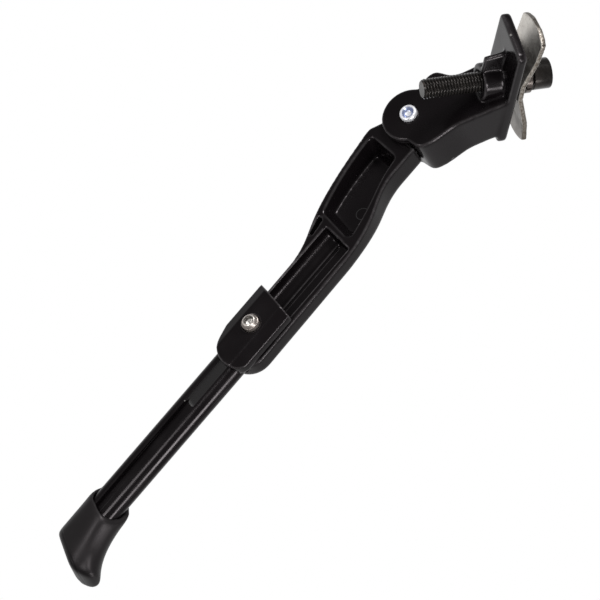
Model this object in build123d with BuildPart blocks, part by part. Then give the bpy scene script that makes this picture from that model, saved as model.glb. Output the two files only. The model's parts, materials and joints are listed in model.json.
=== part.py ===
from build123d import *
from math import cos, exp, radians, sin
import os

os.makedirs("parts", exist_ok=True)

# Centre-mount bicycle kickstand with an adjustable leg, swung down, in millimetres.
# Origin: on the mounting bolt's axis, at the top face of the head plate.
# +X points forward on the bicycle, +Y to its left and +Z up.

# Fits
run_gap = 0.06
slide_gap = 0.3
bolt_gap = 0.6

# Head plate, under the chainstays
plate_width = 30.0
plate_length = 64.0
plate_thick = 4.8
plate_shift = -0.5
plate_corner = 3.0
plate_edge = 1.0

# Boss for the mounting bolt, and the web that props the plate
boss_dia = 18.0
boss_depth = 10.3
web_thick = 3.0
web_top = 20.0
web_foot = 17.5

# Pivot axis: a point on the front cheek, and its tilt out of the horizontal
pivot_x = -4.7
pivot_y = 24.1
pivot_z = -44.9
pivot_tilt = 30.0

# Yoke, drawn on the front cheek with x forward and y down from the pivot
cheek_thick = 4.5
channel_width = 14.2
disc_r = 14.2
chin_x = 20.5
chin_y = -3.0
chin_r = 5.0
chin_root_r = 1.6
waist_x = 17.8
waist_y = -22.0
wall_x = 19.6
wall_y = -54.0
neck_x = -9.2
neck_y = -33.0
bump_x = -16.3
bump_y = -18.4
bump_foot_x = -12.6
bump_foot_y = -10.2
cheek_edge = 1.0
channel_front = 13.4
channel_top = 15.0

# Pivot rivet
rivet_dia = 7.0
rivet_head_dia = 9.4
rivet_head = 2.1
rivet_dome = 0.7
rivet_cup_dia = 5.0
rivet_cup = 1.2
rivet_cup_taper = 30.0

# Detent plunger and its spring, above the lug
plunger_dia = 9.8
plunger_length = 9.5
plunger_nose = 2.4
plunger_play = 0.4
spring_bore = 19.0
spring_wire = 1.3
spring_turns = 4.0
spring_gap = 0.6

# Arm, drawn on the leg plane with u along the leg and w across it
leg_angle = 60.9
lug_r = 12.2
stop_u = 11.3
stop_w = -12.1
neck_u = 6.5
neck_w = 10.3
shoulder_u = 15.2
shoulder_w = 15.2
shoulder_end = 20.5
shoulder_slope = -0.12
left_mid_u = 48.5
left_mid_w = 11.1
left_low_u = 68.5
left_low_w = 5.6
left_end_u = 94.0
left_end_w = -1.2
right_start = 26.0
right_mid_u = 48.5
right_mid_w = -18.5
right_end_u = 78.5
right_end_w = -24.2
arm_left = -1.6
arm_right = -25.0
arm_round = 136.0
arm_tip = 12.0
arm_back_start = 28.0
arm_back_end = 72.0
arm_thin = 9.7
arm_back_edge = 2.4
facing_back = 0.9
facing_side = 0.1

# Upper pocket of the arm
pocket_left_u = 17.8
pocket_left_w = 11.7
pocket_bulge_u = 40.5
pocket_bulge_w = 9.4
pocket_low_u = 62.5
pocket_low_w = 3.9
pocket_right_u = 66.4
pocket_right_w = -18.0
pocket_dip_u = 46.5
pocket_dip_w = -13.3
pocket_start_u = 19.6
pocket_start_w = -7.2
pocket_corner = 2.2
pocket_tail_slope = 0.2
pocket_head_slope = 0.02
pocket_draft_side = 2.3
pocket_draft_end = 4.4
pocket_draft_low = 1.15
pocket_draft_corner = 3.7
pocket_head_u = 20.0
pocket_head_depth = 10.9
pocket_tail_u = 55.0
pocket_tail_depth = 7.0

# Trough for the lower leg, and the sliver pocket beside its head
rib_slant = 8.4
trough_w = -11.7
trough_half = 9.2
trough_start = 68.3
trough_corner = 5.2
groove_width = 2.0
groove_depth = 1.3
groove_start = 70.5
sliver_head = 65.0
sliver_tail = 75.0
sliver_head_left = 4.6
sliver_head_right = 1.6
sliver_tail_left = 2.0
sliver_tail_right = 0.3
sliver_depth = 4.0
sliver_corner = 0.67

# Lower leg
rod_width = 17.4
rod_thick = 9.4
rod_front = 2.0
rod_head = 15.0
rod_length = 145.0
rod_edge = 0.8
track_gap = 0.5
track_depth = 2.2
slot_head = 8.0
slot_tail = 48.0

# Clamp cover and its screw
cover_half = 12.2
cover_face = 6.35
cover_ridge = 2.6
cover_skirt = 4.4
cover_wall = 3.0
cover_slant = 11.6
cover_rise = 16.6
cover_shoulder_back = 1.0
cover_round_on = 0.2
cover_round_w = -4.0
cover_r = 15.0
cover_corner = 7.0
screw_back = 8.0
screw_dia = 5.0
screw_head_dia = 8.5
screw_head = 5.0
screw_sink = 1.5
screw_socket = 4.0
screw_socket_depth = 2.6
screw_edge = 0.4
nut_flats = 8.0
nut_height = 4.0
nut_boss_dia = 14.0
nut_boss_height = 3.0
nut_boss_draft = 5.0

# Foot
foot_wall_left = 2.3
foot_wall_right = 2.25
foot_wall_front = 1.5
foot_wall_back = 2.5
foot_socket = 21.4
foot_top_left = 0.35
foot_top_back = 1.0
foot_lead = 16.0
foot_run = 57.0
foot_steps = 12
flare_start = 0.825
flare_length = 11.8
flare_spare = 0.1
toe_length = 13.9
sole_drop = 10.6
sole_lean = 27.5
sole_roll = 0.137
toe_start = 8.5
toe_spring_r = 14.0
toe_spring_turn = 54.0
toe_tip_r = 4.0
toe_tip_turn = 95.0
sole_edge = 1.6

# Mounting bolt and washer
bolt_dia = 10.0
bolt_head_dia = 15.0
bolt_head = 9.2
bolt_seat = 10.9
bolt_end = -43.9
bolt_socket = 8.0
bolt_socket_depth = 5.5
bolt_edge = 0.8
washer_dia = 17.0
washer_thick = 2.6
washer_low = 6.8
washer_split = 1.4

# Top clamp plate, lying loose and askew over the head plate
sheet_thick = 2.6
sheet_half = 13.2
sheet_flat = 4.0
sheet_fold = 19.0
sheet_fold_rise = 4.8
sheet_end = 28.8
sheet_end_rise = 6.2
sheet_bulge = 3.6
sheet_corner = 1.5
sheet_lift = 0.9
sheet_turn = -11.3
sheet_tilt = -3.7

# Planes that the pieces are placed on
arm_end = arm_round + arm_tip
screw_u = arm_round - screw_back
cover_top = screw_u - cover_rise
cover_shoulder = arm_round - cover_shoulder_back
cover_round = arm_round + cover_round_on
reach = arm_end
swing_axis = Vector(0, cos(radians(pivot_tilt)), sin(radians(pivot_tilt)))
cheek = Plane(origin=(pivot_x, pivot_y, pivot_z), x_dir=(1, 0, 0), z_dir=swing_axis)
leg = Plane(cheek.location * Location((0, 0, 0), (0, 0, leg_angle)))
yoke_depth = 2 * cheek_thick + channel_width
lug_front = cheek_thick + slide_gap
lug_thick = channel_width - 2 * slide_gap
lug_back = lug_front + lug_thick
arm_front = leg.offset(lug_front)
thin_back = lug_front + arm_thin
rod_mid = rod_front + rod_thick / 2
rod_top = screw_u - rod_head
rod_bottom = rod_top + rod_length
trough_depth = rod_front + rod_thick + slide_gap - lug_front
along_leg = Plane(origin=leg.from_local_coords((0, trough_w, 0)), x_dir=leg.y_dir, z_dir=leg.x_dir)
side = Plane(origin=leg.origin, x_dir=leg.x_dir, z_dir=-leg.y_dir)
screw_axis = Plane(origin=leg.from_local_coords((screw_u, trough_w, 0)), x_dir=leg.x_dir, z_dir=leg.z_dir)
plunger_axis = Plane(
    origin=cheek.from_local_coords((0, -lug_r - plunger_play, yoke_depth / 2)),
    x_dir=cheek.x_dir,
    z_dir=-cheek.y_dir,
)
spring_top = channel_top + spring_bore - lug_r - plunger_play
sheet_plane = Plane(Location((0, 0, sheet_lift)) * Location((0, 0, 0), (sheet_tilt, 0, sheet_turn)))

# Head casting: yoke, plate, boss and web in one piece
chin_line = stop_u - slide_gap
chin_corner_y = (chin_line - chin_x * cos(radians(leg_angle))) / sin(radians(leg_angle))
chin_root_w = -((disc_r**2 - chin_line**2) ** 0.5)
chin_root = Vector(chin_line, chin_root_w).rotate(Axis.Z, leg_angle)
bump_foot = Vector(bump_foot_x, bump_foot_y)
disc_join = bump_foot.normalized() * disc_r

with BuildPart() as head:
    with BuildSketch(cheek) as yoke:
        with BuildLine():
            Line((wall_x, wall_y), (waist_x, waist_y))
            Spline(
                (waist_x, waist_y),
                (chin_x, chin_y),
                tangents=((waist_x - wall_x, waist_y - wall_y), (0, 1)),
            )
            Line((chin_x, chin_y), (chin_x, chin_corner_y))
            Line((chin_x, chin_corner_y), chin_root)
            ThreePointArc(chin_root, Vector(-disc_r, 0).rotate(Axis.Z, -leg_angle), disc_join)
            Line(disc_join, bump_foot)
            Spline(
                bump_foot,
                (bump_x, bump_y),
                (neck_x, neck_y),
                tangents=(bump_foot - Vector(0, 0), (0, -1)),
            )
            Line((neck_x, neck_y), (neck_x, wall_y))
            Line((neck_x, wall_y), (wall_x, wall_y))
        make_face()
        fillet(yoke.vertices().sort_by_distance((chin_x, chin_corner_y))[0], chin_r)
        fillet(yoke.vertices().sort_by_distance(chin_root)[0], chin_root_r)
        fillet(yoke.vertices().sort_by_distance(disc_join)[0], chin_root_r)
    extrude(amount=yoke_depth)
    rims = head.faces().filter_by(cheek).edges()
    fillet(rims.filter_by(Axis.X, reverse=True), cheek_edge)
    with BuildSketch(cheek.offset(cheek_thick)):
        with Locations((channel_front, -channel_top)):
            Rectangle(reach, reach, align=(Align.MAX, Align.MIN))
    extrude(amount=channel_width, mode=Mode.SUBTRACT)
    with BuildSketch(Plane.XY.offset(-plate_thick)):
        Rectangle(reach, reach)
    extrude(amount=reach, mode=Mode.SUBTRACT)
    with BuildSketch(Plane.XY.offset(-plate_thick)):
        with Locations((plate_shift, 0)):
            RectangleRounded(plate_width, plate_length, plate_corner)
    extrude(amount=plate_thick)
    fillet(head.faces().sort_by(Axis.Z)[-1].edges(), plate_edge)
    with BuildSketch(Plane.XY.offset(-plate_thick)):
        Circle(boss_dia / 2)
    extrude(amount=-boss_depth)
    with BuildSketch(Plane.YZ):
        with BuildLine():
            Polyline(
                (0, -plate_thick),
                (-web_top, -plate_thick),
                (-web_foot, -plate_thick - boss_depth),
                (0, -plate_thick - boss_depth),
                close=True,
            )
        make_face()
    extrude(amount=web_thick / 2, both=True)
    with BuildSketch(Plane.XY):
        Circle(bolt_dia / 2)
    extrude(amount=-plate_thick - boss_depth, mode=Mode.SUBTRACT)
    with BuildSketch(cheek):
        Circle(rivet_dia / 2)
    extrude(amount=yoke_depth, mode=Mode.SUBTRACT)
    with BuildSketch(plunger_axis):
        Circle(plunger_dia / 2 + run_gap)
    extrude(amount=spring_top, mode=Mode.SUBTRACT)
head.part.label = "head_casting"
export_step(head.part, "parts/head_casting.step")

# Pivot rivet: domed head on the front cheek, rolled end on the back one
with BuildPart() as rivet:
    with BuildSketch(cheek):
        Circle(rivet_head_dia / 2)
    extrude(amount=-rivet_head)
    fillet(rivet.faces().sort_by(Axis(cheek.origin, cheek.z_dir))[0].edges(), rivet_dome)
    with BuildSketch(cheek.offset(-rivet_head)):
        Circle(rivet_cup_dia / 2)
    extrude(amount=rivet_cup, taper=rivet_cup_taper, mode=Mode.SUBTRACT)
    with BuildSketch(cheek):
        Circle(rivet_dia / 2)
    extrude(amount=yoke_depth)
    with BuildSketch(cheek.offset(yoke_depth)):
        Circle(rivet_head_dia / 2)
    extrude(amount=rivet_head)
    fillet(rivet.faces().sort_by(Axis(cheek.origin, cheek.z_dir))[-1].edges(), rivet_dome)
rivet.part.label = "pivot_rivet"
export_step(rivet.part, "parts/pivot_rivet.step")

# Detent plunger: a round-nosed pin that presses on the lug
with BuildPart() as plunger:
    with BuildSketch(plunger_axis):
        Circle(plunger_dia / 2)
    extrude(amount=plunger_length)
    nose = plunger.faces().sort_by(Axis(plunger_axis.origin, plunger_axis.z_dir))[0]
    fillet(nose.edges(), plunger_nose)
plunger.part.label = "detent_plunger"
export_step(plunger.part, "parts/detent_plunger.step")

# Detent spring, between the plunger and the end of its bore
spring_dia = plunger_dia - spring_wire - 2 * spring_gap
spring_length = spring_top - plunger_length - spring_wire
spring_base = plunger_axis.offset(plunger_length + spring_wire / 2)
with BuildPart() as spring:
    with BuildLine() as coil:
        Helix(
            pitch=spring_length / spring_turns,
            height=spring_length,
            radius=spring_dia / 2,
            center=spring_base.origin,
            direction=spring_base.z_dir,
        )
    with BuildSketch(Plane(origin=coil.line @ 0, z_dir=coil.line % 0)):
        Circle(spring_wire / 2)
    sweep(path=coil.line, is_frenet=True)
spring.part.label = "detent_spring"
export_step(spring.part, "parts/detent_spring.step")

# Pocket form: a drafted block with a sloping floor, taken out of the arm below
floor_head = arm_front.from_local_coords((pocket_head_u, 0, pocket_head_depth))
floor_tail = arm_front.from_local_coords((pocket_tail_u, 0, pocket_tail_depth))
floor_x = floor_tail - floor_head
floor_plane = Plane(
    origin=floor_head - floor_x.normalized() * pocket_head_u,
    x_dir=floor_x,
    z_dir=floor_x.cross(leg.y_dir),
)


def pocket_outline(draft):
    """Corner and mid points of the pocket: at the rim with no draft, at the floor with all of it."""
    end = draft * pocket_draft_end
    flank = draft * pocket_draft_side
    return {
        "a": (pocket_left_u + end, pocket_left_w - flank),
        "b": (pocket_bulge_u, pocket_bulge_w - flank),
        "c": (pocket_low_u - end, pocket_low_w - draft * pocket_draft_low),
        "d": (pocket_right_u - end, pocket_right_w + draft * pocket_draft_corner),
        "e": (pocket_dip_u, pocket_dip_w + flank),
        "f": (pocket_start_u + end, pocket_start_w + flank),
    }


rim = pocket_outline(0)
low = pocket_outline(1)
dip_ends = ((-1, pocket_tail_slope), (-1, pocket_head_slope))
with BuildPart() as pocket:
    with BuildSketch(arm_front):
        with BuildLine():
            ThreePointArc(rim["a"], rim["b"], rim["c"])
            Line(rim["c"], rim["d"])
            Spline(rim["d"], rim["e"], rim["f"], tangents=dip_ends)
            Line(rim["f"], rim["a"])
        rim_face = make_face()
        fillet(rim_face.vertices(), pocket_corner)
    with BuildSketch(floor_plane):
        with BuildLine():
            ThreePointArc(low["a"], low["b"], low["c"])
            Line(low["c"], low["d"])
            Spline(low["d"], low["e"], low["f"], tangents=dip_ends)
            Line(low["f"], low["a"])
        low_face = make_face()
        fillet(low_face.vertices(), pocket_corner)
    loft()

# Arm: lug, shoulder, dished upper half and trough
stop_root = -((lug_r**2 - stop_u**2) ** 0.5)
with BuildPart() as arm:
    with BuildSketch(arm_front):
        with BuildLine():
            ThreePointArc((stop_u, stop_root), (-lug_r, 0), (neck_u, neck_w))
            Line((neck_u, neck_w), (shoulder_u, shoulder_w))
            Spline(
                (shoulder_u, shoulder_w),
                (shoulder_end, shoulder_w),
                tangents=((shoulder_u - neck_u, shoulder_w - neck_w), (1, shoulder_slope)),
            )
            Spline(
                (shoulder_end, shoulder_w),
                (left_mid_u, left_mid_w),
                (left_low_u, left_low_w),
                (left_end_u, left_end_w),
                tangents=((1, shoulder_slope), (arm_round - left_end_u, arm_left - left_end_w)),
            )
            Line((left_end_u, left_end_w), (arm_round, arm_left))
            ThreePointArc(
                (arm_round, arm_left),
                (arm_end, (arm_left + arm_right) / 2),
                (arm_round, arm_right),
            )
            Line((arm_round, arm_right), (right_end_u, right_end_w))
            Spline(
                (right_end_u, right_end_w),
                (right_mid_u, right_mid_w),
                (right_start, stop_w),
                tangents=((right_end_u - arm_round, right_end_w - arm_right), (-1, 0)),
            )
            Line((right_start, stop_w), (stop_u, stop_w))
            Line((stop_u, stop_w), (stop_u, stop_root))
        make_face()
    extrude(amount=lug_thick)
    with BuildSketch(side):
        with BuildLine():
            Line((-lug_r - reach, lug_front), (-lug_r - reach, lug_back))
            Line((-lug_r - reach, lug_back), (arm_back_start, lug_back))
            Spline(
                (arm_back_start, lug_back),
                (arm_back_end, thin_back),
                tangents=((1, 0), (1, 0)),
            )
            Line((arm_back_end, thin_back), (arm_end + reach, thin_back))
            Line((arm_end + reach, thin_back), (arm_end + reach, lug_front))
            Line((arm_end + reach, lug_front), (-lug_r - reach, lug_front))
        make_face()
    extrude(amount=reach, both=True, mode=Mode.INTERSECT)
    backs = arm.faces().filter_by(lambda f: f.normal_at(f.center()).dot(leg.z_dir) > facing_back)
    outer = arm.faces().filter_by(lambda f: abs(f.normal_at(f.center()).dot(leg.z_dir)) < facing_side)
    outer = outer.filter_by(lambda f: leg.to_local_coords(f.center()).X > shoulder_u)
    back_edges = [e for e in backs.edges() if any(e.is_same(o) for o in outer.edges())]
    fillet(back_edges, arm_back_edge)
    add(pocket.part, mode=Mode.SUBTRACT)
    with BuildSketch(along_leg.offset(trough_start).rotated((0, rib_slant, 0))):
        with Locations((0, lug_front)):
            trough_face = Rectangle(2 * trough_half, 2 * trough_depth)
        fillet(trough_face.vertices().group_by(Axis.Y)[-1], trough_corner)
    extrude(amount=reach, dir=leg.x_dir, mode=Mode.SUBTRACT)
    with BuildSketch(arm_front.offset(trough_depth)):
        with Locations((groove_start + reach / 2, trough_w)):
            SlotCenterToCenter(reach, groove_width)
    extrude(amount=groove_depth, mode=Mode.SUBTRACT)
    with BuildSketch(arm_front):
        with BuildLine():
            Polyline(
                (sliver_head, sliver_head_left),
                (sliver_tail, sliver_tail_left),
                (sliver_tail, sliver_tail_right),
                (sliver_head, sliver_head_right),
                close=True,
            )
        sliver_face = make_face()
        fillet(sliver_face.vertices(), sliver_corner)
    extrude(amount=sliver_depth, mode=Mode.SUBTRACT)
    with BuildSketch(screw_axis.offset(thin_back)):
        Circle(nut_boss_dia / 2)
    extrude(amount=nut_boss_height, taper=nut_boss_draft)
    with BuildSketch(screw_axis.offset(thin_back + nut_boss_height)):
        RegularPolygon(nut_flats / 2, 6, major_radius=False)
    extrude(amount=-nut_height, mode=Mode.SUBTRACT)
    with BuildSketch(screw_axis):
        Circle(screw_dia / 2 + slide_gap)
    extrude(amount=reach, mode=Mode.SUBTRACT)
    with BuildSketch(leg):
        Circle(rivet_dia / 2 + run_gap)
    extrude(amount=reach, mode=Mode.SUBTRACT)
arm.part.label = "upper_arm"
export_step(arm.part, "parts/upper_arm.step")

# Lower leg: a rounded flat bar with a track down its face and a slot for the screw
track_width = screw_dia + 2 * track_gap
slot_start = screw_u - slot_head
slot_end = screw_u + slot_tail
with BuildPart() as rod:
    with BuildSketch(along_leg.offset(rod_top)):
        with Locations((0, rod_mid)):
            SlotOverall(rod_width, rod_thick)
    extrude(amount=rod_bottom - rod_top)
    chamfer(rod.faces().sort_by(Axis(leg.origin, leg.x_dir))[0].edges(), rod_edge)
    with BuildSketch(leg.offset(rod_front)):
        with Locations(((rod_top + rod_bottom) / 2, trough_w)):
            Rectangle(2 * rod_length, track_width)
    extrude(amount=track_depth, mode=Mode.SUBTRACT)
    with BuildSketch(leg.offset(rod_front)):
        with Locations(((slot_start + slot_end) / 2, trough_w)):
            SlotOverall(slot_end - slot_start, track_width)
    extrude(amount=rod_thick, mode=Mode.SUBTRACT)
rod.part.label = "lower_leg"
export_step(rod.part, "parts/lower_leg.step")

# Clamp cover: a faceted cap over the leg, square at the head and round at the foot
cover_plane = Plane(origin=leg.from_local_coords((0, trough_w, 0)), x_dir=leg.x_dir, z_dir=leg.z_dir)
with BuildPart() as cover:
    with BuildSketch(along_leg):
        with BuildLine():
            Polyline(
                (-cover_half, cover_skirt),
                (-cover_half, 0),
                (-cover_face, -cover_ridge),
                (cover_face, -cover_ridge),
                (cover_half, 0),
                (cover_half, cover_skirt),
                (cover_half - cover_wall, cover_skirt),
                (cover_half - cover_wall, rod_front - slide_gap),
                (cover_wall - cover_half, rod_front - slide_gap),
                (cover_wall - cover_half, cover_skirt),
                close=True,
            )
        make_face()
    extrude(amount=cover_round + 2 * cover_r)
    with BuildSketch(cover_plane) as cover_plan:
        with Locations((cover_round, cover_round_w)):
            Circle(cover_r)
        with Locations((cover_shoulder, 0)):
            Rectangle(cover_shoulder, 2 * cover_half, align=(Align.MAX, Align.CENTER))
        make_hull()
        with Locations((cover_round, 0)):
            Rectangle(2 * reach, 2 * cover_half, mode=Mode.INTERSECT)
        cover_tail = cover_plan.vertices().sort_by_distance((cover_round + cover_r, -cover_half))[0]
        fillet(cover_tail, cover_corner)
        with Locations(Location((cover_top, 0), cover_slant)):
            Rectangle(reach, reach, align=(Align.MAX, Align.CENTER), mode=Mode.SUBTRACT)
    extrude(amount=reach, both=True, mode=Mode.INTERSECT)
    with BuildSketch(screw_axis.offset(-cover_ridge)):
        Circle(screw_head_dia / 2 + slide_gap)
    extrude(amount=screw_sink, mode=Mode.SUBTRACT)
    with BuildSketch(screw_axis.offset(-cover_ridge)):
        Circle(screw_dia / 2 + slide_gap)
    extrude(amount=reach, mode=Mode.SUBTRACT)
cover.part.label = "clamp_cover"
export_step(cover.part, "parts/clamp_cover.step")

# Clamp screw: socket head seated in the cover, end flush with the nut
screw_seat = screw_sink - cover_ridge
with BuildPart() as screw:
    with BuildSketch(screw_axis.offset(screw_seat - screw_head)):
        Circle(screw_head_dia / 2)
    extrude(amount=screw_head)
    chamfer(screw.faces().sort_by(Axis(leg.origin, leg.z_dir))[0].edges(), screw_edge)
    with BuildSketch(screw_axis.offset(screw_seat - screw_head)):
        RegularPolygon(screw_socket / 2, 6, major_radius=False)
    extrude(amount=screw_socket_depth, mode=Mode.SUBTRACT)
    with BuildSketch(screw_axis.offset(screw_seat)):
        Circle(screw_dia / 2)
    extrude(amount=thin_back + nut_boss_height - screw_seat)
screw.part.label = "clamp_screw"
export_step(screw.part, "parts/clamp_screw.step")

# Clamp nut, held in the boss on the arm's back
with BuildPart() as nut:
    with BuildSketch(screw_axis.offset(thin_back + nut_boss_height)):
        RegularPolygon(nut_flats / 2, 6, major_radius=False)
        Circle(screw_dia / 2, mode=Mode.SUBTRACT)
    extrude(amount=-nut_height)
nut.part.label = "clamp_nut"
export_step(nut.part, "parts/clamp_nut.step")

# Foot: a moulded sleeve that flares into an upturned toe, on a slanted sole
foot_width = rod_width + foot_wall_left + foot_wall_right
foot_thick = rod_thick + foot_wall_front + foot_wall_back
foot_w = (foot_wall_left - foot_wall_right) / 2
foot_z = rod_mid + (foot_wall_back - foot_wall_front) / 2
foot_top = rod_bottom - foot_socket
sole_u = rod_bottom + sole_drop
sole_across = Vector(sin(radians(sole_lean)), -cos(radians(sole_lean)))
foot_rim = Plane(
    origin=leg.from_local_coords((foot_top, trough_w, rod_mid)),
    z_dir=leg.x_dir + leg.y_dir * foot_top_left + leg.z_dir * foot_top_back,
)
foot_plane = Plane(
    origin=leg.from_local_coords((sole_u, trough_w, rod_mid)),
    x_dir=leg.x_dir,
    z_dir=leg.z_dir,
)
with BuildPart() as foot:
    for i in range(foot_steps):
        station = foot_run * i / (foot_steps - 1) - foot_lead
        flare = flare_start * exp(station / flare_length)
        with BuildSketch(along_leg.offset(foot_top + station)):
            with Locations((foot_w + (flare_spare - flare) / 2, foot_z)):
                SlotOverall(foot_width + flare_spare + flare, foot_thick + flare_spare)
    loft()
    with BuildSketch(along_leg.offset(foot_top - foot_lead)):
        with Locations((foot_w - toe_length / 2, foot_z)):
            SlotOverall(foot_width + toe_length, foot_thick)
    extrude(amount=reach, mode=Mode.INTERSECT)
    with BuildSketch(foot_plane):
        with BuildLine():
            ground = Line(sole_across * -reach, sole_across * toe_start)
            toe = JernArc(ground @ 1, ground % 1, toe_spring_r, -toe_spring_turn)
            tip = JernArc(toe @ 1, toe % 1, toe_tip_r, -toe_tip_turn)
            back = Line(tip @ 1, (-reach, (tip @ 1).Y - reach))
            Line(back @ 1, (-reach, (ground @ 0).Y))
            Line((-reach, (ground @ 0).Y), ground @ 0)
        make_face()
    extrude(amount=reach, both=True, dir=leg.z_dir + leg.x_dir * sole_roll, mode=Mode.INTERSECT)
    with BuildSketch(foot_rim):
        Rectangle(reach, reach)
    extrude(amount=-reach, mode=Mode.SUBTRACT)
    sole = foot.faces().filter_by(GeomType.PLANE).sort_by(Axis(leg.origin, leg.x_dir))[-1]
    heel = sole.edges().filter_by(GeomType.ELLIPSE)
    fillet(heel, sole_edge)
    with BuildSketch(along_leg.offset(rod_bottom)):
        with Locations((0, rod_mid)):
            SlotOverall(rod_width, rod_thick)
    extrude(amount=-reach, mode=Mode.SUBTRACT)
foot.part.label = "foot"
export_step(foot.part, "parts/foot.step")

# Mounting bolt: socket head cap screw down through clamp plate and boss
with BuildPart() as bolt:
    with BuildSketch(Plane.XY.offset(bolt_seat)):
        Circle(bolt_head_dia / 2)
    extrude(amount=bolt_head)
    fillet(bolt.faces().sort_by(Axis.Z)[-1].edges(), bolt_edge)
    with BuildSketch(Plane.XY.offset(bolt_seat + bolt_head)):
        RegularPolygon(bolt_socket / 2, 6, major_radius=False)
    extrude(amount=-bolt_socket_depth, mode=Mode.SUBTRACT)
    with BuildSketch(Plane.XY.offset(bolt_seat)):
        Circle(bolt_dia / 2 - run_gap)
    extrude(amount=bolt_end - bolt_seat)
    chamfer(bolt.faces().sort_by(Axis.Z)[0].edges(), bolt_edge)
bolt.part.label = "mounting_bolt"
export_step(bolt.part, "parts/mounting_bolt.step")

# Lock washer: a split spring ring under the bolt head
with BuildPart() as washer:
    with BuildSketch(Plane.XY.offset(washer_low)):
        Circle(washer_dia / 2)
        Circle(bolt_dia / 2 + bolt_gap / 2, mode=Mode.SUBTRACT)
        Rectangle(washer_dia, washer_split, align=(Align.MIN, Align.CENTER), mode=Mode.SUBTRACT)
    extrude(amount=washer_thick)
washer.part.label = "lock_washer"
export_step(washer.part, "parts/lock_washer.step")

# Top clamp plate: bent sheet with bowed ends, saddles over the chainstays
sheet_slope = (sheet_end_rise - sheet_fold_rise) / (sheet_end - sheet_fold)
sheet_tip_rise = sheet_end_rise + sheet_slope * sheet_bulge
with BuildPart() as sheet:
    with BuildSketch(Plane(origin=sheet_plane.origin, x_dir=sheet_plane.y_dir, z_dir=sheet_plane.x_dir)):
        with BuildLine():
            section = Polyline(
                (-sheet_end - sheet_bulge, sheet_tip_rise),
                (-sheet_fold, sheet_fold_rise),
                (-sheet_flat, 0),
                (sheet_flat, 0),
                (sheet_fold, sheet_fold_rise),
                (sheet_end + sheet_bulge, sheet_tip_rise),
            )
            offset(section, sheet_thick, side=Side.LEFT)
        make_face()
    extrude(amount=reach, both=True)
    with BuildSketch(sheet_plane):
        with BuildLine():
            ThreePointArc(
                (-sheet_half, -sheet_end),
                (0, -sheet_end - sheet_bulge),
                (sheet_half, -sheet_end),
            )
            Line((sheet_half, -sheet_end), (sheet_half, sheet_end))
            ThreePointArc(
                (sheet_half, sheet_end),
                (0, sheet_end + sheet_bulge),
                (-sheet_half, sheet_end),
            )
            Line((-sheet_half, sheet_end), (-sheet_half, -sheet_end))
        plan = make_face()
        fillet(plan.vertices(), sheet_corner)
        Circle(bolt_dia / 2 + bolt_gap, mode=Mode.SUBTRACT)
    extrude(amount=reach, both=True, mode=Mode.INTERSECT)
sheet.part.label = "clamp_plate"
export_step(sheet.part, "parts/clamp_plate.step")
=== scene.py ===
import json
import math

import bmesh
import bpy
from mathutils import Matrix, Vector


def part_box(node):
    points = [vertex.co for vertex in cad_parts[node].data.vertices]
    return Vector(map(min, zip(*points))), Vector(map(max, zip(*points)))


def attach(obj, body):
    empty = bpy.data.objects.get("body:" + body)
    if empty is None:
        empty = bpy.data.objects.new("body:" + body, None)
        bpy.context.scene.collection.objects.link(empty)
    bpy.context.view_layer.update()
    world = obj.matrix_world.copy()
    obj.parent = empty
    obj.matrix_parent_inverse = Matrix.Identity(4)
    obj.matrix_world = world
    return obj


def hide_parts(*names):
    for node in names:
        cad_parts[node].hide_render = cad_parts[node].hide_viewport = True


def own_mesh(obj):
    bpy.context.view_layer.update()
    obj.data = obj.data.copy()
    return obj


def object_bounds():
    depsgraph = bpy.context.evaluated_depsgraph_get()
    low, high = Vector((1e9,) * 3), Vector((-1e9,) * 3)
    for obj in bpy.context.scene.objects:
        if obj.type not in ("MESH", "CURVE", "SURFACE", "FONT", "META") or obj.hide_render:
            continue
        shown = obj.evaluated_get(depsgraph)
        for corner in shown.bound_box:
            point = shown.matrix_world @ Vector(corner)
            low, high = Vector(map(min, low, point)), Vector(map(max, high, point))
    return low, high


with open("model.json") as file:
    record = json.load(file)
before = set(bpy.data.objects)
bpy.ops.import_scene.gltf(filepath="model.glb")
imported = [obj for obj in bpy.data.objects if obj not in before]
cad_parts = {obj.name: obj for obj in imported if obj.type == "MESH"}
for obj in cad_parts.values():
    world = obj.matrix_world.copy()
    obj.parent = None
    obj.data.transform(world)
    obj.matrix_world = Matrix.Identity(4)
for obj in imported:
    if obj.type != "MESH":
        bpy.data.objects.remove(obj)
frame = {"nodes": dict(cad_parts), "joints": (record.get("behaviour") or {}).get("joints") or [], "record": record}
cad_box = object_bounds()
nodes = frame["nodes"]
record = frame["record"]
joints = {joint["name"]: joint for joint in frame["joints"]}
slots = {sub["node"]: sub["material_slot"] for sub in record["subparts"]}
scene = bpy.context.scene
MM = 0.001

# The photograph's camera: its directions in the row frame, its scale and the pixel of the origin;
# its sensor is in millimetres, and its distance and the picture's middle depth are in metres
RIGHT = Vector((0.283, -0.150, 0.947)).normalized()
BACK = Vector((0.563, -0.774, -0.290)).normalized()
UP = BACK.cross(RIGHT).normalized()
RIGHT = UP.cross(BACK)
IMAGE_PX = 600
PX_PER_MM = 2.1
ORIGIN_PX = (509.0, 77.1)
SENSOR = 36.0
DISTANCE = 5.0
MID_DEPTH = 0.013

# The leg's own frame in millimetres, from its joints: u down along it, w across it, a into the picture
PIVOT = Vector(joints["leg_swing"]["pos_m"]) / MM
LEG_A = Vector(joints["leg_swing"]["axis"])
LEG_U = -Vector(joints["leg_height"]["axis"])
LEG_W = LEG_A.cross(LEG_U)
LEG_AXES = Matrix((LEG_U, LEG_W, LEG_A))
ROW_AXES = Matrix.Identity(3)


def leg(u, w, z):
    """A point of the leg's frame in millimetres, as row coordinates in metres."""
    return (PIVOT + LEG_U * u + LEG_W * w + LEG_A * z) * MM


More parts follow.
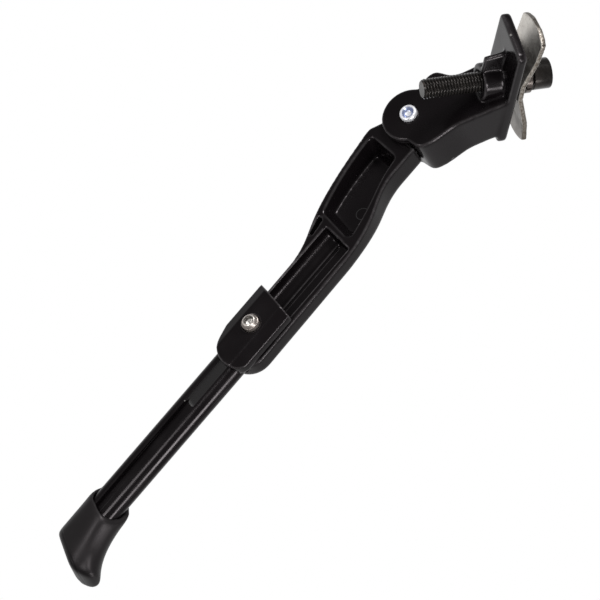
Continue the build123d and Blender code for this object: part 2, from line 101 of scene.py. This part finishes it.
def in_leg(point):
    """A point in row metres, as millimetres in the leg's frame."""
    return LEG_AXES @ (point / MM - PIVOT)


def reach(node, axis):
    """How low and how high a node reaches along one axis of the leg's frame, in millimetres."""
    places = [in_leg(v.co)[axis] for v in nodes[node].data.vertices]
    return min(places), max(places)


# Camera: far off with a long lens, rolled as in the photograph
off_right, off_down = ((IMAGE_PX / 2 - pixel) / PX_PER_MM for pixel in ORIGIN_PX)
middle = (RIGHT * off_right - UP * off_down) * MM + BACK * MID_DEPTH
cam_data = bpy.data.cameras.new("photo_camera")
cam_data.sensor_width = SENSOR
cam_data.lens = SENSOR * DISTANCE / (IMAGE_PX / PX_PER_MM * MM)
cam_data.clip_end = 100.0
camera = bpy.data.objects.new("photo_camera", cam_data)
scene.collection.objects.link(camera)
axes = Matrix((RIGHT, UP, BACK)).transposed()
camera.matrix_world = Matrix.Translation(middle + BACK * DISTANCE) @ axes.to_4x4()
scene.camera = camera
scene.view_settings.view_transform = "Standard"

# The mix node's sockets for colours, which share their names with those for numbers
MIX_FACTOR, MIX_A, MIX_B, MIX_RESULT = 0, 6, 7, 2


class Tree:
    """A short way to add nodes and links to a material or a world."""

    def __init__(self, owner):
        owner.use_nodes = True
        self.nodes = owner.node_tree.nodes
        self.links = owner.node_tree.links

    def add(self, kind, **settings):
        node = self.nodes.new(kind)
        for key, value in settings.items():
            setattr(node, key, value)
        return node

    def feed(self, socket, value):
        """Links a socket to another one, or sets it to a number, a vector or a colour's three parts."""
        if isinstance(value, bpy.types.NodeSocket):
            self.links.new(value, socket)
        elif isinstance(value, tuple):
            socket.default_value = (*value, 1.0)
        else:
            socket.default_value = value

    def math(self, operation, a, b=0.0, **settings):
        node = self.add("ShaderNodeMath", operation=operation, **settings)
        self.feed(node.inputs[0], a)
        self.feed(node.inputs[1], b)
        return node.outputs["Value"]

    def mix(self, factor, a, b, share=1.0):
        """Mixes two colours by a share of a factor."""
        node = self.add("ShaderNodeMix", data_type="RGBA")
        self.feed(node.inputs[MIX_FACTOR], factor if share == 1.0 else self.math("MULTIPLY", factor, share))
        self.feed(node.inputs[MIX_A], a)
        self.feed(node.inputs[MIX_B], b)
        return node.outputs[MIX_RESULT]

    def surface(self, output, factor, first, second):
        """Shows the first shader where the factor is nought, and the second where it is one."""
        node = self.add("ShaderNodeMixShader")
        self.feed(node.inputs["Fac"], factor)
        self.feed(node.inputs[1], first)
        self.feed(node.inputs[2], second)
        self.feed(self.nodes[output].inputs["Surface"], node.outputs["Shader"])


class Finish(Tree):
    """A material, with the patterns and masks that the finishes share."""

    def __init__(self, name):
        self.material = bpy.data.materials.new(name)
        super().__init__(self.material)
        self.shader = self.nodes["Principled BSDF"]
        self.coord = self.add("ShaderNodeTexCoord").outputs["Object"]

    def noise(self, scale, detail=3.0, rough=0.55, vector=None):
        node = self.add("ShaderNodeTexNoise")
        self.feed(node.inputs["Scale"], scale)
        self.feed(node.inputs["Detail"], detail)
        self.feed(node.inputs["Roughness"], rough)
        self.feed(node.inputs["Vector"], vector or self.coord)
        return node.outputs["Fac"]

    def ramp(self, value, low, high, start=0.0, end=1.0):
        """Goes evenly from start to end as the value goes from low to high."""
        node = self.add("ShaderNodeMapRange")
        self.feed(node.inputs["Value"], value)
        self.feed(node.inputs["From Min"], low)
        self.feed(node.inputs["From Max"], high)
        self.feed(node.inputs["To Min"], start)
        self.feed(node.inputs["To Max"], end)
        return node.outputs["Result"]

    def vector(self, operation, a, b=None):
        """The outputs of a vector operation on a socket and a fixed vector."""
        node = self.add("ShaderNodeVectorMath", operation=operation)
        self.feed(node.inputs[0], a)
        if b is not None:
            self.feed(node.inputs[1], b)
        return node.outputs

    def geometry(self, output):
        return self.add("ShaderNodeNewGeometry").outputs[output]

    def part_of(self, vector, axis):
        """One coordinate of a vector."""
        node = self.add("ShaderNodeSeparateXYZ")
        self.feed(node.inputs["Vector"], vector)
        return node.outputs[axis]

    def spot(self, point, radius):
        """One inside a rough-edged spot round a point, nought outside it."""
        gap = self.vector("DISTANCE", self.coord, point)["Value"]
        ragged = self.math("ADD", gap, self.math("MULTIPLY", self.noise(1800.0), radius * 1.2))
        return self.ramp(ragged, radius * 1.3, radius * 1.6, 1.0, 0.0)

    def ring(self, point, radius, half):
        """One on a thin ring round a line through a point along the leg's depth, nought off it."""
        away = self.vector("SUBTRACT", self.coord, point)["Vector"]
        side = self.vector("CROSS_PRODUCT", away, LEG_A)["Vector"]
        gap = self.vector("LENGTH", side)["Value"]
        off = self.math("ABSOLUTE", self.math("SUBTRACT", gap, radius))
        return self.ramp(off, half * 0.4, half, 1.0, 0.0)

    def along(self, stretch):
        """Coordinates drawn out along the leg by a factor."""
        node = self.add("ShaderNodeMapping", vector_type="TEXTURE")
        self.feed(node.inputs["Rotation"], LEG_AXES.transposed().to_euler())
        self.feed(node.inputs["Scale"], Vector((stretch, 1.0, 1.0)))
        self.feed(node.inputs["Vector"], self.coord)
        return node.outputs["Vector"]

    def edges(self, low, high):
        """A mask that is one on sharp outer edges."""
        return self.ramp(self.geometry("Pointiness"), low, high)

    def bump(self, height, depth):
        node = self.add("ShaderNodeBump")
        self.feed(node.inputs["Strength"], 1.0)
        self.feed(node.inputs["Distance"], depth)
        self.feed(node.inputs["Height"], height)
        return node.outputs["Normal"]

    def set(self, **values):
        for key, value in values.items():
            self.feed(self.shader.inputs[key.replace("_", " ")], value)
        return self.material

    def see_through(self, factor, shown):
        """Fades a shader out to nothing as the factor goes to one."""
        clear = self.add("ShaderNodeBsdfTransparent").outputs["BSDF"]
        self.surface("Material Output", factor, shown, clear)


def grey(level):
    return (level, level, level)


# Black paint on the castings and on the bar
PAINT = (0.0018, 0.0014, 0.0016)
PAINT_CLOUDED = tuple(part * 1.7 for part in PAINT)
PAINT_ROUGH = 0.20
PAINT_RELIEF = 0.000005
WARM_GLOSS = (1.0, 0.92, 0.95)
DUST = (0.06, 0.058, 0.056)
RUBBED_AND_EDGE_HIGHLIGHT = (0.060, 0.055, 0.057)
WORN = grey(0.10)
SCRATCHED = grey(0.07)
CHIPPED = (0.13, 0.125, 0.12)
RING_TONE = grey(0.03)
RING_HALF = 0.25
STRETCH = 60.0


def paint(name, grain, edge_wear_and_highlight, chips, marks=(), streaks=False):
    """Satin black paint: fine grain, dust, edges lightened as rubbed paint and painted highlight, chips, ring
    marks and scratches down the leg.
    """
    t = Finish(name)
    rim = t.edges(0.51, 0.55)
    fine = t.noise(grain, detail=4.0)
    cloud = t.noise(60.0)
    worn = t.math("MULTIPLY", rim, t.ramp(t.noise(420.0, detail=5.0), 0.5, 0.72))
    dust = t.ramp(t.noise(1500.0, detail=2.0, rough=0.7), 0.75, 0.80, end=0.5)
    shade = t.mix(cloud, PAINT, PAINT_CLOUDED)
    shade = t.mix(dust, shade, DUST)
    # every sharp edge lightened all along: rubbed paint and a painted edge highlight
    shade = t.mix(rim, shade, RUBBED_AND_EDGE_HIGHLIGHT, share=0.6 * edge_wear_and_highlight)
    shade = t.mix(worn, shade, WORN, share=0.3 * edge_wear_and_highlight)
    height = t.math("MULTIPLY", fine, 0.08 if streaks else 0.4)
    if streaks:
        lines = t.noise(900.0, detail=2.0, rough=0.6, vector=t.along(STRETCH))
        scratch = t.ramp(lines, 0.66, 0.74)
        shade = t.mix(scratch, shade, SCRATCHED, share=0.25)
        height = t.math("ADD", height, t.math("MULTIPLY", scratch, -0.1))
    for point, radius in chips:
        chip = t.spot(point, radius * MM)
        shade = t.mix(chip, shade, CHIPPED)
        height = t.math("SUBTRACT", height, chip)
    for point, radius in marks:
        mark = t.ring(point, radius * MM, RING_HALF * MM)
        shade = t.mix(mark, shade, RING_TONE, share=0.5)
        height = t.math("ADD", height, t.math("MULTIPLY", mark, 4.0))
    gloss = t.ramp(cloud, 0.3, 0.7, PAINT_ROUGH - 0.05, PAINT_ROUGH + 0.06)
    return t.set(
        Base_Color=shade,
        Roughness=t.math("ADD", gloss, t.math("MULTIPLY", fine, 0.05)),
        Specular_IOR_Level=0.18,
        Specular_Tint=WARM_GLOSS,
        Normal=t.bump(height, PAINT_RELIEF),
    )


# Rubber of the foot, and its parting line, which lies a little above the slanted sole
RUBBER = (0.0030, 0.0026, 0.0028)
RUBBER_CLOUDED = (0.0055, 0.0049, 0.0051)
RUBBER_RELIEF = 0.00006
SCUFFED = (0.035, 0.034, 0.033)
SEAM = grey(0.001)
RUBBER_EDGE = grey(0.05)
SEAM_LIFT = 3.2 * MM
SOLE_LEAN = math.radians(27.5)
SOLE_WAY = LEG_U * math.cos(SOLE_LEAN) + LEG_W * math.sin(SOLE_LEAN)
SOLE_AT = Vector(next(mount["pos_m"] for mount in record["mounts"] if mount["name"] == "ground_pad"))


def rubber(name):
    """Moulded satin rubber with a fine matt grain and a parting line near the sole."""
    t = Finish(name)
    rim = t.edges(0.54, 0.60)
    fine = t.noise(3000.0)
    cloud = t.noise(90.0, detail=4.0)
    scuff = t.ramp(t.noise(500.0, detail=5.0, rough=0.65), 0.62, 0.72)
    level = t.vector("DOT_PRODUCT", t.coord, SOLE_WAY)["Value"]
    off = t.math("ABSOLUTE", t.math("SUBTRACT", level, SOLE_WAY.dot(SOLE_AT) - SEAM_LIFT))
    seam = t.ramp(off, 0.2 * MM, 0.5 * MM, 1.0, 0.0)
    shade = t.mix(cloud, RUBBER, RUBBER_CLOUDED)
    shade = t.mix(scuff, shade, SCUFFED, share=0.2)
    shade = t.mix(seam, shade, SEAM, share=0.8)
    shade = t.mix(rim, shade, RUBBER_EDGE, share=0.03)
    return t.set(
        Base_Color=shade,
        Roughness=t.ramp(cloud, 0.3, 0.7, 0.40, 0.46),
        Specular_IOR_Level=0.26,
        Specular_Tint=WARM_GLOSS,
        Normal=t.bump(t.math("SUBTRACT", t.math("MULTIPLY", fine, 0.08), seam), RUBBER_RELIEF),
    )


# Bare and plated metal; between two places across the row, the sheet darkens towards its far side, a painted
# reflection of the black plate it faces
PAINTED_REFLECTION_FROM = -5.0 * MM
PAINTED_REFLECTION_TO = 25.0 * MM
CUT_EDGE = (0.10, 0.085, 0.07)


def metal(name, low, high, rough, spread, grain, relief, edge, spots=None, metallic=1.0, far_painted_reflection=None, tone_and_light_rings=()):
    """Two tones in patches, fine grain, toned edges and rings of tone and painted light; a sheet also darkens
    towards its far side as a painted reflection, and has cut edges.
    """
    t = Finish(name)
    rim = t.edges(0.54, 0.62)
    patch = t.noise(grain / 4, detail=4.0, rough=0.6)
    fine = t.noise(grain)
    shade = t.mix(t.ramp(patch, 0.35, 0.65), low, high)
    if spots:
        shade = t.mix(t.ramp(t.noise(grain * 0.6, detail=2.0, rough=0.7), 0.62, 0.7, end=0.8), shade, spots)
    if far_painted_reflection:
        # the sheet darkened towards positive Y: a painted reflection of the black plate
        shade = t.mix(t.ramp(t.part_of(t.coord, "Y"), PAINTED_REFLECTION_FROM, PAINTED_REFLECTION_TO), shade, far_painted_reflection)
        flat = t.math("ABSOLUTE", t.part_of(t.geometry("Normal"), "Z"))
        cut = t.ramp(flat, 0.35, 0.55, 1.0, 0.0)
        shade = t.mix(t.math("MULTIPLY", cut, t.ramp(fine, 0.35, 0.6, 0.7, 1.0)), shade, CUT_EDGE)
    shade = t.mix(rim, shade, edge, share=0.5)
    # rings round the leg's depth axis: tint, painted highlight and painted shade
    for point, radius, half, tone in tone_and_light_rings:
        shade = t.mix(t.ring(point, radius * MM, half * MM), shade, tone, share=0.85)
    return t.set(
        Base_Color=shade,
        Metallic=metallic,
        Specular_IOR_Level=0.3,
        Roughness=t.ramp(patch, 0.3, 0.7, rough - spread, rough + spread),
        Normal=t.bump(fine, relief),
    )


# Places of the chips, with their radii in millimetres, and of the ejector pin's ring in the pocket
casting_chips = [
    (leg(23.0, 14.2, 4.8), 0.5),
    (leg(19.0, 15.1, 5.5), 0.6),
    (leg(118.0, -25.0, 5.0), 0.4),
    (Vector((-0.9, -32.0, -4.3)) * MM, 0.8),
]
bar_chips = [
    (leg(176.0, -9.0, 2.2), 0.6),
    (leg(226.0, -14.0, 2.2), 0.6),
    (leg(205.0, -17.0, 2.6), 0.4),
]
ejector_ring = (leg(50.5, -9.1, 8.5), 3.2)

# The clamp screw's place on the leg
SCREW_U = 128.0
SCREW_W = -11.7
screw_at = leg(SCREW_U, SCREW_W, 0.0)

# A finish for each slot of the record, and one for the screw; each ring of tone and painted light has
# a middle, a radius, half a width and a tone
materials = {
    "black_casting": paint("satin_black_casting", 2600.0, 1.0, casting_chips, marks=[ejector_ring]),
    "black_bar": paint("satin_black_bar", 3000.0, 0.0, bar_chips, streaks=True),
    "black_rubber": rubber("black_rubber"),
    "zinc_steel": metal(
        "zinc_steel",
        low=(0.70, 0.70, 0.72),
        high=(0.84, 0.84, 0.87),
        rough=0.34,
        spread=0.06,
        grain=1600.0,
        relief=0.000004,
        edge=(0.90, 0.89, 0.88),
        metallic=0.65,
        # a dark bluish ring on the rivet's cup wall: blue plating tint and painted shade in the cup
        tone_and_light_rings=[(leg(0.0, 0.0, 0.0), 2.2, 1.1, (0.13, 0.17, 0.32))],
    ),
    "nickel_screw": metal(
        "nickel_screw",
        low=(0.42, 0.38, 0.35),
        high=(0.58, 0.53, 0.49),
        rough=0.32,
        spread=0.06,
        grain=1800.0,
        relief=0.000005,
        edge=(0.70, 0.66, 0.61),
        metallic=0.75,
        # round the screw's axis: a painted highlight over the head's middle and socket, a painted shadow ring at
        # the socket's walls, and darker round the knurl
        tone_and_light_rings=[
            (screw_at, 0.0, 3.2, (0.92, 0.90, 0.87)),
            (screw_at, 2.25, 0.5, (0.05, 0.045, 0.04)),
            (screw_at, 4.0, 1.0, (0.20, 0.175, 0.16)),
        ],
    ),
    "black_oxide": metal(
        "black_oxide",
        low=(0.011, 0.0098, 0.0092),
        high=(0.022, 0.0195, 0.018),
        rough=0.24,
        spread=0.04,
        grain=1400.0,
        relief=0.000006,
        edge=(0.12, 0.10, 0.09),
        metallic=0.6,
    ),
    "galvanised_sheet": metal(
        "galvanised_sheet",
        low=(0.60, 0.57, 0.53),
        high=(0.80, 0.77, 0.72),
        rough=0.42,
        spread=0.06,
        grain=900.0,
        relief=0.000015,
        edge=(0.36, 0.32, 0.28),
        spots=(0.42, 0.38, 0.34),
        # dark tone of the painted reflection towards the sheet's far side
        far_painted_reflection=(0.22, 0.205, 0.19),
    ),
}
for name, node in nodes.items():
    node.data.materials.clear()
    node.data.materials.append(materials[slots[name]])

SHARP = math.radians(32)


def piece(name, bm, body, slot, finish=None):
    """Turns a bmesh in row metres into a smooth piece that rides on a body."""
    mesh = bpy.data.meshes.new(name)
    bmesh.ops.remove_doubles(bm, verts=bm.verts, dist=1e-7)
    bmesh.ops.recalc_face_normals(bm, faces=bm.faces)
    bm.to_mesh(mesh)
    bm.free()
    obj = bpy.data.objects.new(name, mesh)
    scene.collection.objects.link(obj)
    mesh.polygons.foreach_set("use_smooth", [True] * len(mesh.polygons))
    mesh.set_sharp_from_angle(angle=SHARP)
    mesh.materials.append(materials[finish or slot])
    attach(obj, body)
    return obj


# The lower leg's way up the arm, with some room beside it and above its travel, in millimetres
WAY_SIDE = 0.9
WAY_ABOVE = 2.0
TRAVEL = joints["leg_height"]["range_m"][1] / MM
(BAR_TOP, BAR_END), BAR_ACROSS, BAR_DEEP = (reach("lower_leg", axis) for axis in range(3))


def in_way(co):
    """Whether a point lies on or beside the lower leg's way up the arm."""
    u, w, z = in_leg(co)
    across = BAR_ACROSS[0] - WAY_SIDE < w < BAR_ACROSS[1] + WAY_SIDE
    deep = BAR_DEEP[0] - WAY_SIDE < z < BAR_DEEP[1] + WAY_SIDE
    return across and deep and BAR_TOP - TRAVEL - WAY_ABOVE < u < BAR_END


def soften(bm, verts, rounds):
    """Smooths some of the vertices, a little in each round."""
    for _ in range(rounds):
        bmesh.ops.smooth_vert(
            bm, verts=verts, factor=0.5, use_axis_x=True, use_axis_y=True, use_axis_z=True
        )


def moulded(name, node, voxel, rounds, grid=ROW_AXES):
    """Stands for a solid with its form and the soft edges that moulding leaves, on voxels along a grid."""
    mesh = nodes[node].data.copy()
    bm = bmesh.new()
    bm.from_mesh(mesh)
    bmesh.ops.remove_doubles(bm, verts=bm.verts, dist=1e-6)
    bm.transform(grid.to_4x4())
    bm.to_mesh(mesh)
    bm.free()
    obj = bpy.data.objects.new(name, mesh)
    scene.collection.objects.link(obj)
    skin = obj.modifiers.new("skin", "REMESH")
    skin.mode = "VOXEL"
    skin.voxel_size = voxel * MM
    skin.use_smooth_shade = True
    done = obj.evaluated_get(bpy.context.evaluated_depsgraph_get())
    obj.data = bpy.data.meshes.new_from_object(done)
    obj.modifiers.clear()
    bm = bmesh.new()
    bm.from_mesh(obj.data)
    bm.transform(grid.transposed().to_4x4())
    soften(bm, [v for v in bm.verts if not in_way(v.co)], rounds)
    bm.to_mesh(obj.data)
    bm.free()
    obj.data.materials.clear()
    obj.data.materials.append(materials[slots[node]])
    body = next(key for key, names in record["behaviour"]["bodies"].items() if node in names)
    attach(obj, body)
    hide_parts(node)
    return obj


moulded("head_cast", "head_casting", voxel=0.5, rounds=14)
moulded("arm_cast", "upper_arm", voxel=0.5, rounds=12, grid=LEG_AXES)
moulded("cover_cast", "clamp_cover", voxel=0.4, rounds=10, grid=LEG_AXES)
moulded("saddle_pressed", "clamp_plate", voxel=0.35, rounds=4)
foot = moulded("foot_moulded", "foot", voxel=0.5, rounds=8, grid=LEG_AXES)

# The foot's front, in the leg's millimetres: a crown whose line leans across as it goes down the leg,
# a crease beside the toe, and the toe's own front, which falls back
CROWN = 2.2
CROWN_WIDTH = 18.0
CROWN_LINE = -18.0
CROWN_LINE_AT = 252.0
CROWN_LEAN = 0.147
CREASE_WIDTH = 6.0
CREASE_CURVE = 0.055
TOE_CURVE = 0.02
CROWN_START, CROWN_RUN = 224.0, 8.0
TOE_START, TOE_RUN = 230.0, 18.0
SOLE_FROM, SOLE_ROUNDS = 242.0, 24
FRONT_FROM, FRONT_ROUNDS = 232.0, 20


def crown(past):
    """Height of the front over the solid in millimetres, by the place across from the crown's line."""
    if past > 0:
        return CROWN * math.cos(math.pi / 2 * min(past / CROWN_WIDTH, 1.0)) ** 2
    if past > -CREASE_WIDTH:
        return CROWN - CREASE_CURVE * past ** 2
    return CROWN - CREASE_CURVE * CREASE_WIDTH ** 2 - TOE_CURVE * (past + CREASE_WIDTH) ** 2


def below(bm, u):
    """The vertices further down the leg than a place on it."""
    return [v for v in bm.verts if in_leg(v.co)[0] > u]


bm = bmesh.new()
bm.from_mesh(foot.data)
soften(bm, below(bm, SOLE_FROM), SOLE_ROUNDS)
depths = {}
for v in bm.verts:
    u, _, z = in_leg(v.co)
    low, high = depths.get(round(u), (z, z))
    depths[round(u)] = (min(low, z), max(high, z))
for v in bm.verts:
    u, w, z = in_leg(v.co)
    low, high = depths[round(u)]
    front = 1 - (z - low) / max((high - low) / 2, 1.0)
    rise = crown(w - CROWN_LINE + CROWN_LEAN * (u - CROWN_LINE_AT))
    start = (u - CROWN_START) / CROWN_RUN if rise > 0 else (u - TOE_START) / TOE_RUN
    v.co -= LEG_A * (MM * min(max(start, 0.0), 1.0) * max(front, 0.0) * rise)
soften(bm, below(bm, FRONT_FROM), FRONT_ROUNDS)
bm.to_mesh(foot.data)
bm.free()


def both(rows):
    return rows[0], rows[-1]


def rings(bm, levels, count, place, caps=both):
    """Skins rings of points; each level gives a height and a radius, or a radius by angle."""
    rows = []
    for height, radius in levels:
        row = []
        for i in range(count):
            angle = 2 * math.pi * i / count
            r = radius(angle) if callable(radius) else radius
            row.append(bm.verts.new(place(r * math.cos(angle), r * math.sin(angle), height)))
        rows.append(row)
    for a, b in zip(rows, rows[1:]):
        for i in range(count):
            j = (i + 1) % count
            bm.faces.new((a[i], a[j], b[j], b[i]))
    for row in caps(rows):
        bm.faces.new(row)


def hexagon(flats):
    """Radius of a hexagon across flats, by angle."""
    return lambda angle: flats / 2 / math.cos((angle + math.pi / 6) % (math.pi / 3) - math.pi / 6)


# Mounting bolt, in millimetres: socket head and a rolled M10 thread in place of the plain shank
BOLT_END, BOLT_TOP = (corner.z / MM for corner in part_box("mounting_bolt"))
HEAD_TALL = 9.2
HEAD_RADIUS = 7.5
HEAD_EDGE = 0.8
NECK_RADIUS = 5.2
BREAK = 0.3
SOCKET = 8.0
SOCKET_DEEP = 5.5
SOCKET_POINT = 0.8
POINT_RADIUS = 0.6
CREST = 4.93
ROOT = 4.12
PITCH = 1.5
END_CHAMFER = 0.9
END_CENTRE = 0.4
INTO_HEAD = 0.1
STEPS, AROUND = 10, 48
SEAT = BOLT_TOP - HEAD_TALL


def upright(x, y, z):
    return Vector((x, y, z)) * MM


def thread(bm):
    """A rolled thread up to the bolt's head, chamfered at its end."""
    flank = [ROOT + 0.22, ROOT + 0.46, CREST - 0.1]
    profile = [ROOT, ROOT, *flank, CREST, CREST, *reversed(flank)]
    count = int((SEAT - BOLT_END) / PITCH + 2) * STEPS
    grid = {}
    for i in range(-STEPS, count):
        for j in range(AROUND):
            z = BOLT_END + PITCH * (i / STEPS + j / AROUND)
            r = min(profile[i % STEPS], CREST - END_CHAMFER + max(0.0, z - BOLT_END))
            z = min(max(z, BOLT_END), SEAT + INTO_HEAD)
            angle = 2 * math.pi * j / AROUND
            grid[i, j] = bm.verts.new(upright(r * math.cos(angle), r * math.sin(angle), z))
    for i in range(-STEPS, count - 1):
        for j in range(AROUND):
            last = j == AROUND - 1
            a, b = grid[i, j], grid[i + 1, j]
            c = grid.get((i + 1 + STEPS, 0)) if last else grid[i + 1, j + 1]
            d = grid.get((i + STEPS, 0)) if last else grid[i, j + 1]
            if c and d:
                bm.faces.new((a, d, c, b))
    end = [(BOLT_END, END_CENTRE), (BOLT_END, CREST - END_CHAMFER)]
    rings(bm, end, AROUND, upright, lambda rows: rows[:1])


head = [(SEAT, NECK_RADIUS), (SEAT, HEAD_RADIUS - BREAK), (SEAT + BREAK, HEAD_RADIUS)]
head.append((BOLT_TOP - HEAD_EDGE, HEAD_RADIUS))
for turn in (0.4, 0.8, 1.2, math.pi / 2):
    height = BOLT_TOP - HEAD_EDGE + HEAD_EDGE * math.sin(turn)
    head.append((height, HEAD_RADIUS - HEAD_EDGE + HEAD_EDGE * math.cos(turn)))
head += [(BOLT_TOP, hexagon(SOCKET + 2 * BREAK)), (BOLT_TOP - BREAK, hexagon(SOCKET))]
head += [(BOLT_TOP - SOCKET_DEEP, hexagon(SOCKET)), (BOLT_TOP - SOCKET_DEEP - SOCKET_POINT, POINT_RADIUS)]
bolt = bmesh.new()
rings(bolt, head, 2 * AROUND, upright)
thread(bolt)
bolt_piece = piece("bolt_threaded", bolt, "bolt", "black_oxide")
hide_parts("mounting_bolt")

# Pivot rivet: rolled rim round a deep cup in front, rounded head behind, as depths and radii
FRONT, REAR = reach("pivot_rivet", 2)
RIVET_AROUND = 72
cup = [(1.8, 0.2), (1.75, 1.0), (1.65, 1.5), (1.4, 1.9), (0.9, 2.4), (0.3, 2.85), (0.06, 3.05), (0.0, 3.25)]
rim = [(0.0, 3.5), (0.1, 3.8), (0.32, 4.05), (0.65, 4.25), (1.1, 4.35), (2.1, 4.35), (2.1, 3.5)]
rear_rim = [(2.1, 3.5), (2.1, 4.7), (0.9, 4.7), (0.45, 4.55), (0.12, 4.2), (0.0, 3.7)]
rear_dimple = [(0.0, 1.6), (0.3, 1.2), (0.4, 0.3)]
levels = [(FRONT + deep, radius) for deep, radius in cup + rim]
levels += [(REAR - deep, radius) for deep, radius in rear_rim + rear_dimple]
rivet = bmesh.new()
rings(rivet, levels, RIVET_AROUND, leg)
rivet_piece = piece("rivet_rolled", rivet, "head", "zinc_steel")
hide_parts("pivot_rivet")

# Clamp screw: diamond knurl round a socket head, rounded towards its face, as depths and radii
FACE, TAIL = reach("clamp_screw", 2)
SCREW_SEAT = FACE + 5.0
SCREW_SOCKET = 4.0
SHANK = 2.5
SHANK_END = 0.4
TEETH = 36
TOOTH = 0.04
KNURL_RADIUS = 4.2
KNURL_FROM = 1.85
KNURL_LEAN = 0.11
KNURL_STEP = 0.15
KNURL_ROWS = 20


def on_screw(x, y, z):
    return leg(SCREW_U + x, SCREW_W + y, z)


def diamonds(height):
    """Radius of the knurl by angle at a height."""
    lean = KNURL_LEAN * height

    def radius(angle):
        ridges = math.cos(TEETH * (angle + lean)) + math.cos(TEETH * (angle - lean))
        return KNURL_RADIUS + TOOTH * ridges

    return radius


socket = [(3.2, 0.3), (2.0, hexagon(SCREW_SOCKET)), (0.35, hexagon(SCREW_SOCKET))]
socket += [(0.0, hexagon(SCREW_SOCKET + 0.7)), (0.0, 2.8)]
shoulder = [(0.12, 3.0), (0.4, 3.2), (1.2, 3.6), (1.7, 3.9)]
knurl = [(KNURL_FROM + KNURL_STEP * i, diamonds(KNURL_STEP * i)) for i in range(KNURL_ROWS)]
levels = [(FACE + deep, radius) for deep, radius in socket + shoulder + knurl]
levels += [(SCREW_SEAT, KNURL_RADIUS - 0.1), (SCREW_SEAT, SHANK)]
levels += [(TAIL - SHANK_END, SHANK), (TAIL, SHANK - SHANK_END)]
screw = bmesh.new()
rings(screw, levels, 6 * TEETH, on_screw)
screw_piece = piece("screw_knurled", screw, "arm", "zinc_steel", "nickel_screw")
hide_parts("clamp_screw")

# Detent spring: the solid's own coil, as a piece with a mesh of its own
coil = bmesh.new()
coil.from_mesh(nodes["detent_spring"].data)
spring = piece("spring_coil", coil, "head", "zinc_steel")
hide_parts("detent_spring")
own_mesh(spring)


def backdrop(name, bm, place, unseen):
    """A stage object, left out of the kinds of rays that are named."""
    mesh = bpy.data.meshes.new(name)
    bm.to_mesh(mesh)
    bm.free()
    obj = bpy.data.objects.new(name, mesh)
    obj.location = place
    scene.collection.objects.link(obj)
    for kind in unseen:
        setattr(obj, "visible_" + kind, False)
    return obj


# Floor under the foot, seen from above only
FLOOR_HALF = 3.0
FLOOR_GAP = 0.001
FLOOR_TONE = grey(0.62)
floor_bm = bmesh.new()
bmesh.ops.create_grid(floor_bm, x_segments=1, y_segments=1, size=FLOOR_HALF)
floor_at = (middle.x, middle.y, cad_box[0].z - FLOOR_GAP)
floor = backdrop("floor", floor_bm, floor_at, ("diffuse", "glossy", "shadow"))
pale = Finish("pale_floor")
pale.set(Base_Color=FLOOR_TONE, Roughness=0.9, Specular_IOR_Level=0.1)
pale.see_through(pale.geometry("Backfacing"), pale.shader.outputs["BSDF"])
floor.data.materials.append(pale.material)

LAMP_SPREAD = math.radians(110)


def softbox(name, right, up, back, distance, size, power):
    """A square lamp in the photograph's directions, aimed at the middle of the picture."""
    lamp = bpy.data.lights.new(name, "AREA")
    lamp.size = size
    lamp.energy = power
    lamp.spread = LAMP_SPREAD
    obj = bpy.data.objects.new(name, lamp)
    way = (RIGHT * right + UP * up + BACK * back).normalized()
    obj.location = middle + way * distance
    obj.rotation_euler = way.to_track_quat("Z", "Y").to_euler()
    scene.collection.objects.link(obj)


softbox("lamp_right", right=0.48, up=-0.30, back=0.825, distance=0.48, size=0.15, power=0.65)
softbox("lamp_top", right=0.20, up=0.86, back=0.47, distance=1.2, size=0.32, power=4.2)
softbox("lamp_foot", right=-0.647, up=0.337, back=0.685, distance=0.343, size=0.1, power=0.17)
softbox("lamp_low", right=0.54, up=-0.72, back=0.43, distance=1.2, size=0.28, power=1.7)

# Grey flag round the camera's side, which only reflections see; it fades out towards the back
FLAG_RADIUS = 2.5
FLAG_TONE = grey(0.22)
FADE_FROM, FADE_TO = -0.1, 0.75
OPEN_WAY = (RIGHT * -0.15 - UP * 0.35 - BACK * 0.92).normalized()
flag_bm = bmesh.new()
bmesh.ops.create_uvsphere(flag_bm, u_segments=48, v_segments=24, radius=FLAG_RADIUS)
flag = backdrop("grey_flag", flag_bm, middle, ("camera", "diffuse", "transmission", "shadow"))
glow = Finish("grey_flag")
lit = glow.add("ShaderNodeEmission")
glow.feed(lit.inputs["Color"], FLAG_TONE)
facing = glow.vector("DOT_PRODUCT", glow.coord, OPEN_WAY / FLAG_RADIUS)["Value"]
glow.see_through(glow.ramp(facing, FADE_FROM, FADE_TO), lit.outputs["Emission"])
flag.data.materials.append(glow.material)

# White surroundings for the camera and for reflections, and a plain level of soft light
SOFT_LIGHT = 0.8
WHITE = 1.0
scene.world = bpy.data.worlds.new("studio")
sky = Tree(scene.world)
plain = sky.nodes["Background"]
white = sky.add("ShaderNodeBackground")
for background, strength in ((plain, SOFT_LIGHT), (white, WHITE)):
    sky.feed(background.inputs["Color"], grey(1.0))
    sky.feed(background.inputs["Strength"], strength)
rays = sky.add("ShaderNodeLightPath").outputs
seen = sky.math("ADD", rays["Is Camera Ray"], rays["Is Glossy Ray"])
shown = sky.math("ADD", seen, rays["Is Transmission Ray"], use_clamp=True)
sky.surface("World Output", shown, plain.outputs["Background"], white.outputs["Background"])
